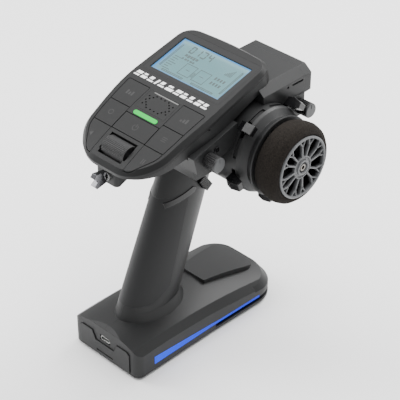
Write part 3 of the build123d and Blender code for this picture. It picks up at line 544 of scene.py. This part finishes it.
def foam_mesh():
    """Foam ring: its section is a crowned band, turned round the steering axis.

    Going round the section by s in [0, 1], x and radius are read off the knots and smoothed; the inner
    side stays on the rim.  Each outer point sinks by up to 0.22 mm where a smoothed random field is low.
    """
    around, rows = 560, 84
    knots_s = [0.0, 0.06, 0.16, 0.34, 0.5, 0.66, 0.78, 0.84, 0.88, 1.0]
    length = foam_high.x - foam_low.x
    inner = rim_radius + 0.00005
    knots_x = [0.0, 0.0, 0.10, 0.34, 0.58, 0.80, 0.95, 1.0, 0.995, 0.0]
    knots_r = [inner, 0.0248, 0.0262, 0.0275, foam_radius, 0.0270, 0.0246, 0.0228, inner, inner]
    s = np.linspace(0, 1, rows, endpoint=False)
    fine = np.linspace(0, 1, 800)
    x = np.interp(fine, knots_s, knots_x)
    r = np.interp(fine, knots_s, knots_r)
    kernel = np.hanning(45)
    kernel /= kernel.sum()
    x = np.convolve(np.r_[x, x, x], kernel, "same")[800:1600]
    r = np.convolve(np.r_[r, r, r], kernel, "same")[800:1600]
    x = foam_low.x + length * np.interp(s, fine, x)
    r = np.maximum(np.interp(s, fine, r), inner)
    rng = np.random.default_rng(7)
    field = rng.random((rows, around))
    field = (field + np.roll(field, 1, 0) + np.roll(field, 1, 1) + np.roll(field, 1, (0, 1))) / 4
    depth = 0.00022 * np.clip(0.5 - field, 0, 1) * 2
    outer = (r > inner + 0.0006)[:, None]
    turn = np.linspace(0, 2 * math.pi, around, endpoint=False)
    radius = r[:, None] - depth * outer
    points = round_axis(np.repeat(x[:, None], around, 1), radius, np.repeat(turn[None, :], rows, 0))
    return points.reshape(-1, 3), grid_faces(rows, around)


points, faces = foam_mesh()
foam = make_piece("wheel_foam", points, faces, "steering_wheel")
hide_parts("foam_grip")
sponge = Shader("open_cell_foam", (0.022, 0.018, 0.014), 0.95, specular=0.15)
pores = sponge.cells(1500.0)
pits = sponge.cells(3400.0)
tone = pores.ramp(0.1, 0.7) * 0.6 + pits.ramp(0.1, 0.7) * 0.4
sponge.put("Base Color", sponge.mix(tone, (0.026, 0.0215, 0.0175), (0.006, 0.0048, 0.004)))
sponge.bump(tone, 0.00025, 0.9)
dress(sponge.material, "wheel_foam")

# ------------------------------------------------------------------ rim of the wheel
# A moulded rim in satin grey, screwed to the shaft: an outer ring with a raised lip, a stepped hub,
# a back disc, and spokes in pairs that fork near the ring.  Its colour is painted darker with depth, down
# to near black on the back disc: painted shade in the recesses between the spokes.
spoke_count = 12
inner_x = rim_low.x
outer_x = rim_high.x
spoke_face = outer_x - 0.0007
ring_inner = rim_radius - 0.0017
hub_radius = 0.0072
fork_radius = 0.0158
fork_turn = math.radians(7.0)
spoke_depth = 0.0035
pair_turn = math.radians(12.5)
first_turn = math.radians(20.0)
stem_width = 0.0013
branch_width = 0.0010


def turned(profile, steps):
    """Closed ring: each (x, radius) point of its section, in metres, carried round the steering axis."""
    xs, radii = np.array(profile).T
    turn = np.linspace(0, 2 * math.pi, steps, endpoint=False)
    x, radius, turn = np.broadcast_arrays(xs[:, None], radii[:, None], turn[None, :])
    return round_axis(x, radius, turn).reshape(-1, 3), grid_faces(len(xs), steps)[:, ::-1]


def bar(start, end, width):
    """Spoke bar between two (radius, turn) places, closed.

    Its section, in half widths across and metres out of the face, has straight sides and a flat crown
    with sloping edges; it is set at both places, square to the line between them.
    """
    radius, turn = np.array([start, end]).T
    ends = radius[:, None] * np.stack([np.cos(turn), np.sin(turn)], -1)
    along = (ends[1] - ends[0]) / np.linalg.norm(ends[1] - ends[0])
    side = np.array([-along[1], along[0]])
    section = np.array([(1.0, -spoke_depth), (1.0, -0.0004), (0.55, 0.0), (-0.55, 0.0), (-1.0, -0.0004),
                        (-1.0, -spoke_depth)])
    across, drop = section.T
    flat = ends[:, None, :] + across[None, :, None] * side * width / 2
    x = np.broadcast_to(spoke_face + drop, flat.shape[:2])
    points = np.stack([x, axis_y + flat[..., 0], axis_z + flat[..., 1]], -1)
    return points.reshape(-1, 3), prism_faces(len(section))


parts = [
    turned([(inner_x, ring_inner), (outer_x - 0.0006, ring_inner), (outer_x, ring_inner + 0.0005),
            (outer_x, rim_radius - 0.0005), (outer_x - 0.0005, rim_radius), (inner_x, rim_radius)], 160),
    turned([(inner_x, 0.0031), (outer_x - 0.0040, 0.0031), (outer_x - 0.0040, 0.0036),
            (outer_x - 0.0006, 0.0036), (outer_x, 0.0041), (outer_x, 0.0052), (outer_x - 0.0012, 0.0055),
            (outer_x - 0.0014, hub_radius - 0.0004), (outer_x - 0.0007, hub_radius),
            (outer_x - 0.0009, hub_radius + 0.0008), (outer_x - 0.0040, hub_radius + 0.0009),
            (inner_x, hub_radius)], 96),
    turned([(inner_x, 0.0050), (inner_x + 0.0020, 0.0050), (inner_x + 0.0020, ring_inner + 0.0004),
            (inner_x, ring_inner + 0.0004)], 96),
]
for index in range(spoke_count):
    pair = 4 * math.pi * (index // 2) / spoke_count
    turn = pair + pair_turn * (1 if index % 2 else -1) + first_turn
    parts.append(bar((hub_radius, turn), (fork_radius, turn), stem_width))
    for hand in (-1, 1):
        tip = (ring_inner + 0.0003, turn + hand * fork_turn)
        parts.append(bar((fork_radius - 0.0004, turn), tip, branch_width))
points, faces = join(parts)
rim = make_piece("spoked_rim", points, faces, "steering_wheel", smooth=False)
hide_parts("steering_rim")
satin = Shader("rim_satin", (0.1, 0.1, 0.1), 0.4, specular=0.45)
# Painted shade: the colour darkens to near black from 1.6 to 3.4 mm behind the face, over the deeper parts of
# spokes, ring and hub and over the back disc.
recess_shade_share = satin.place.dot((1, 0, 0)).ramp(outer_x - 0.0034, outer_x - 0.0016)
satin.put("Base Color", satin.mix(recess_shade_share, (0.003, 0.003, 0.003), (0.105, 0.108, 0.112)))
satin.put("Roughness", satin.noise(1200.0) * 0.12 + 0.34)
satin.bump(satin.noise(2500.0), 0.00001, 0.4, 0.0003)
dress(satin.material, "spoked_rim")

# ------------------------------------------------------------------ hub screw
# The steel cap screw that holds the wheel on its shaft.
# It is bright round its hexagon socket and nearly black further out.
screw = Shader("hub_screw_tones", (0.4, 0.4, 0.38), 0.35, metallic=1.0)
sideways = screw.place.dot((0, 1, 0)) - axis_y
upright = screw.place.dot((0, 0, 1)) - axis_z
away = (sideways * sideways + upright * upright).math("SQRT")
screw.put("Base Color", screw.mix(away.ramp(0.0021, 0.0024), (0.22, 0.21, 0.19), (0.015, 0.015, 0.015)))
screw.bump(screw.noise(2500.0), 0.000008, 0.4, 0.0002)
dress(screw.material, "hub_screw")

# ------------------------------------------------------------------ floor
# A wide sheet of white paper under the controller.
# It is flat, with a slow wander of tone.
floor_half = 3.0
floor_mesh = bpy.data.meshes.new("floor")
corners = [(-floor_half, -floor_half, 0), (floor_half, -floor_half, 0), (floor_half, floor_half, 0),
           (-floor_half, floor_half, 0)]
floor_mesh.from_pydata(corners, [], [(0, 1, 2, 3)])
floor = bpy.data.objects.new("floor", floor_mesh)
bpy.context.scene.collection.objects.link(floor)
pale_floor = Shader("floor_paper", (0.9, 0.9, 0.9), 0.9)
blotches = pale_floor.noise(3.0)
pale_floor.put("Base Color", pale_floor.mix(blotches, (0.88, 0.88, 0.88), (0.92, 0.92, 0.92)))
floor_mesh.materials.append(pale_floor.material)

# ------------------------------------------------------------------ lights
# Plain white surroundings, a large softbox overhead, a key light behind and a soft fill from the left.
world = bpy.data.worlds.new("studio")
world.use_nodes = True
world.node_tree.nodes["Background"].inputs[0].default_value = (1.0, 1.0, 1.0, 1.0)
world.node_tree.nodes["Background"].inputs[1].default_value = 0.75
bpy.context.scene.world = world

aim_at = Vector((0.0197, 0.0046, 0.1077))


def softbox(name, place, size, watts):
    lamp = bpy.data.lights.new(name, "AREA")
    lamp.shape = "RECTANGLE"
    lamp.size, lamp.size_y = size
    lamp.energy = watts
    holder = bpy.data.objects.new(name, lamp)
    holder.location = place
    holder.rotation_euler = (aim_at - Vector(place)).to_track_quat("-Z", "Y").to_euler()
    bpy.context.scene.collection.objects.link(holder)


softbox("overhead", (-0.1, 0.2, 1.7), (2.2, 2.2), 62.0)
softbox("key_light", (0.05, 0.85, 0.9), (0.8, 0.5), 14.0)
softbox("left_fill", (-0.9, -0.45, 0.6), (0.4, 0.9), 12.0)

# ------------------------------------------------------------------ camera
# A long lens above the user's right, looking down on the head.
# It turns about aim_at, the middle of the controller.
camera_data = bpy.data.cameras.new("camera")
camera_data.lens = 130.9
camera_data.sensor_width = 36.0
camera = bpy.data.objects.new("camera", camera_data)
camera.location = (0.5694, -0.5545, 0.6580)
camera.rotation_euler = (aim_at - camera.location).to_track_quat("-Z", "Y").to_euler()
bpy.context.scene.collection.objects.link(camera)
bpy.context.scene.camera = camera
